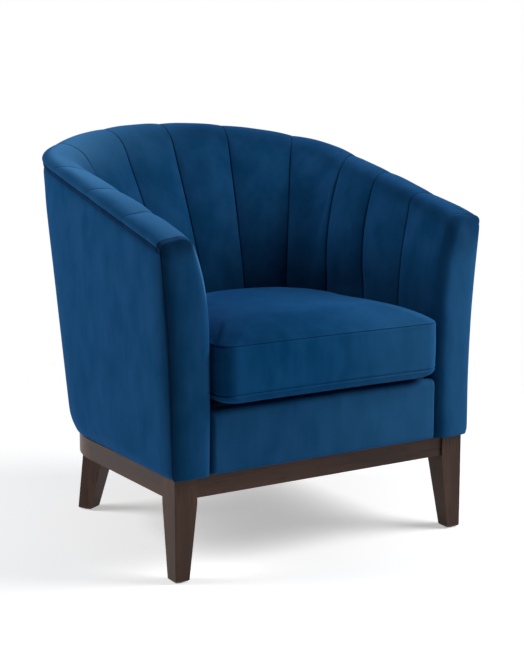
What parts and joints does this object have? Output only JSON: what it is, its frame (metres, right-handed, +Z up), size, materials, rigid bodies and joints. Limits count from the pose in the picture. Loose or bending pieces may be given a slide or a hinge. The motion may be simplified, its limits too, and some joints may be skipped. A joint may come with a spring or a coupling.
{
  "type": "channel back armchair",
  "caption": "Tub armchair with a channelled back that rolls over a sloping rim, padded arm fronts, a loose D-shaped seat cushion and tapered wood legs.",
  "frame": {"origin": "on the floor, under the middle of the chair's overall box", "axes": "+Z up, the seat opens towards -Y, +X to the right as seen from the front"},
  "size_m": [0.7198, 0.7056, 0.7934],
  "materials": {
    "velvet": "navy velvet pile",
    "velvet_band": "navy velvet pile, in shade",
    "walnut": "dark walnut, satin lacquer",
    "plywood": "raw plywood",
    "black_cloth": "woven, matte",
    "deck_cloth": "plain woven deck cloth",
    "foam": "open cell foam",
    "zip_tape": "woven tape",
    "steel": "zinc plated",
    "glide_plastic": "matte"
  },
  "bodies": {
    "chair": {"arm_facing_left": "velvet", "arm_facing_right": "velvet", "arm_post_left": "plywood", "arm_post_right": "plywood", "back_rail": "walnut", "back_rib_left": "plywood", "back_rib_right": "plywood", "base_bolts": "steel", "bottom_ring": "plywood", "channel_01": "velvet", "channel_02": "velvet", "channel_03": "velvet", "channel_04": "velvet", "channel_05": "velvet", "channel_06": "velvet", "channel_07": "velvet", "channel_08": "velvet", "channel_09": "velvet", "channel_10": "velvet", "channel_11": "velvet", "channel_12": "velvet", "corner_blocks": "plywood", "corner_rib_left": "plywood", "corner_rib_right": "plywood", "deck_pad": "deck_cloth", "dust_cover": "black_cloth", "foot_glides": "glide_plastic", "front_border": "velvet", "front_rail": "walnut", "leg_bolts": "steel", "leg_front_left": "walnut", "leg_front_right": "walnut", "leg_rear_left": "walnut", "leg_rear_right": "walnut", "outside_back": "velvet", "outside_left": "velvet", "outside_right": "velvet", "rim_band": "velvet_band", "rim_board": "plywood", "seat_front_rail": "plywood", "seat_ring": "plywood", "side_rail_left": "walnut", "side_rail_right": "walnut", "side_rib_left": "plywood", "side_rib_right": "plywood", "tee_nuts": "steel", "webbing_crosswise": "black_cloth", "webbing_lengthwise": "black_cloth"},
    "cushion": {"cushion_cover": "velvet", "cushion_foam": "foam", "cushion_zip": "zip_tape"},
    "zip_pull": {"zip_slider": "steel"}
  },
  "joints": [
    {"name": "cushion_lift", "type": "slide", "parent": "chair", "child": "cushion", "axis": [0, 0, 1], "range_m": [0, 0.48]},
    {"name": "zip_run", "type": "hinge", "parent": "cushion", "child": "zip_pull", "pos_m": [0, -0.16604, 0.3963], "axis": [0, 0, 1], "range_deg": [0, 66]}
  ]
}
